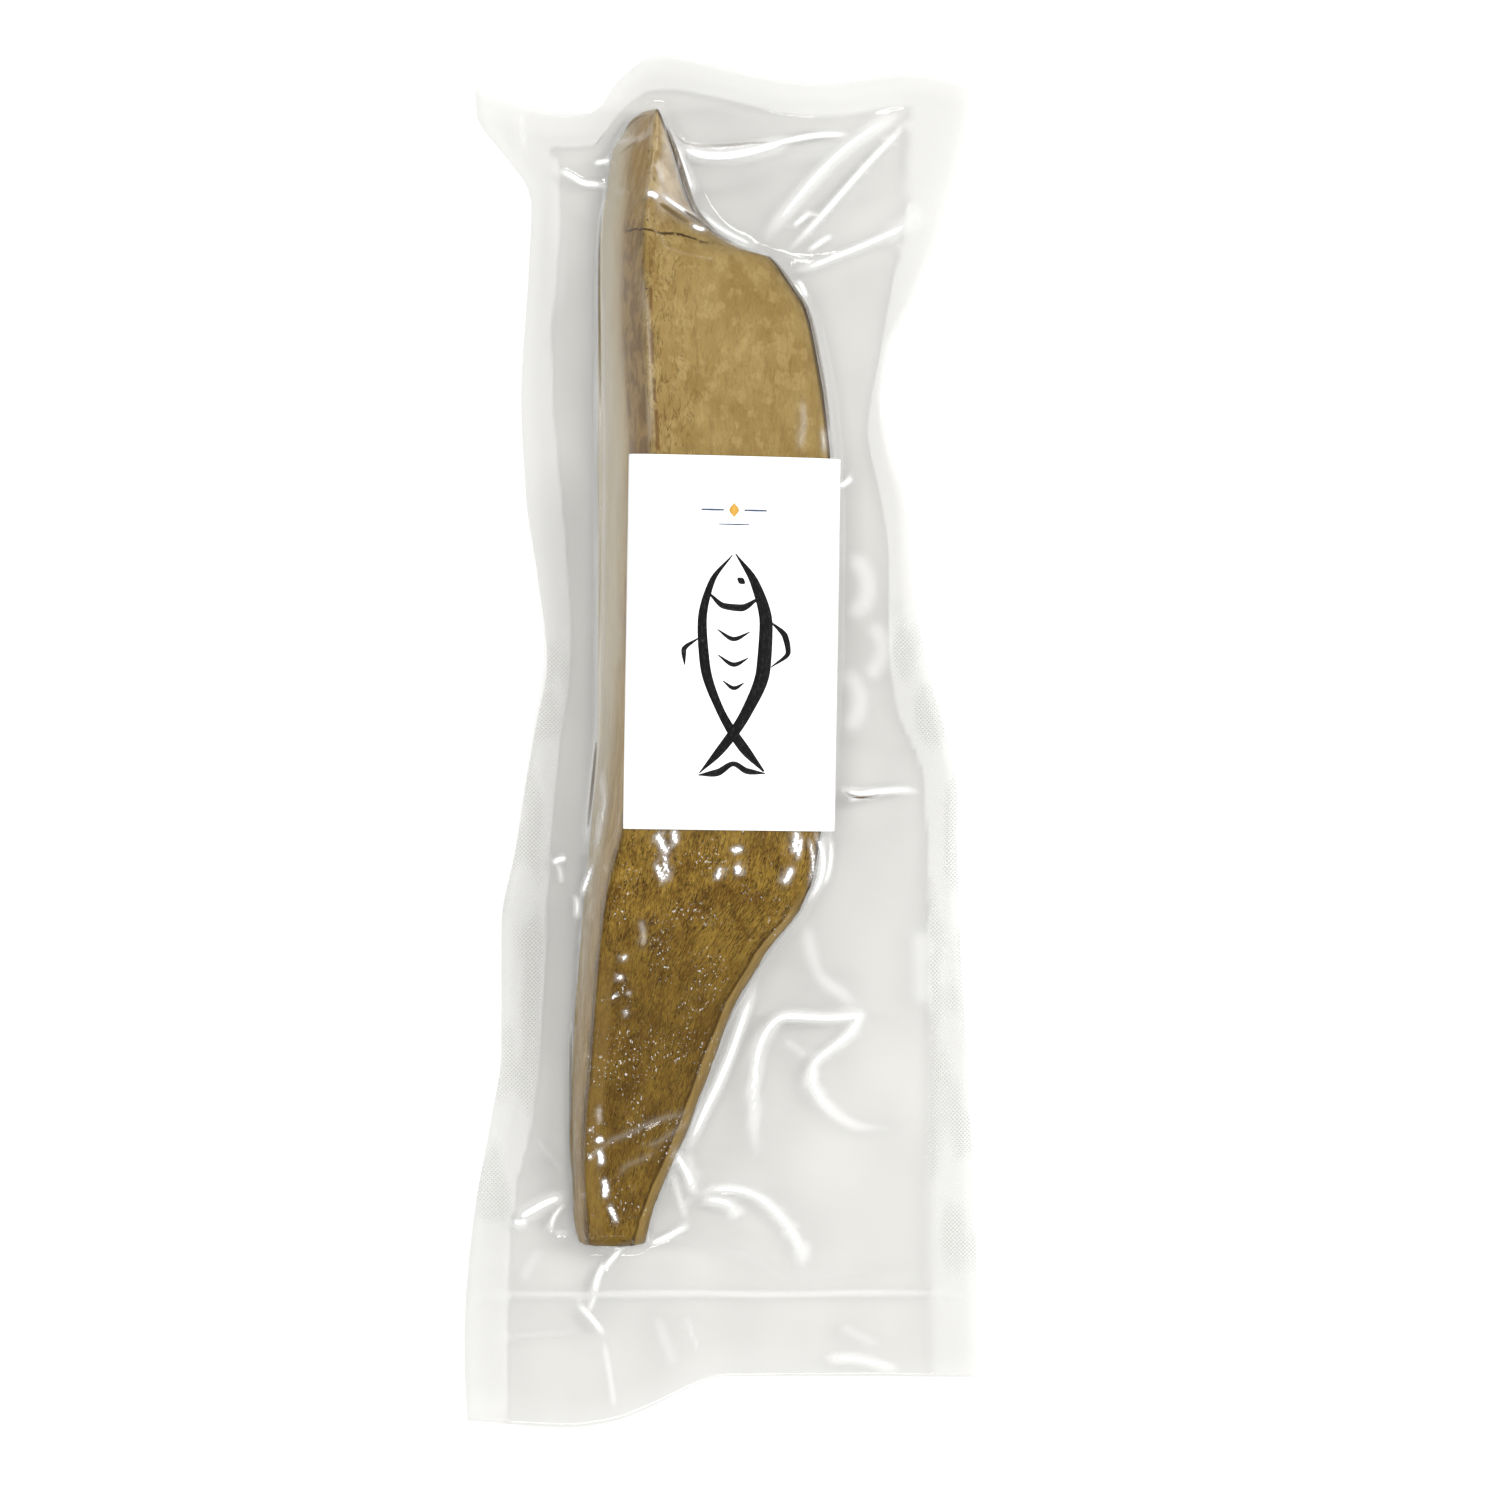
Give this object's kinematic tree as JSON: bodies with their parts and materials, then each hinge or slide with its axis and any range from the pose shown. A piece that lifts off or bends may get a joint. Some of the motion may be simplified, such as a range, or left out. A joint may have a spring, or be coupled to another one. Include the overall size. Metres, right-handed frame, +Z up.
{
  "type": "vacuum-packed dried bonito block",
  "caption": "Whole block of dried bonito, shaved to a ridge and a point, shrunk tight in a clear vacuum pouch with wide side seals and a plain white paper label.",
  "frame": {"origin": "on the surface that the pack lies on, under the middle of the pouch", "axes": "+Z up through the labelled front, +Y along the pack towards the block's pointed tip, +X across it"},
  "size_m": [0.1026, 0.2738, 0.0323],
  "materials": {
    "pouch_film": "gloss",
    "dried_fish": "satin",
    "label_paper": "matte"
  },
  "bodies": {
    "root": {"pouch": "pouch_film", "label": "label_paper"}
  },
  "joints": []
}
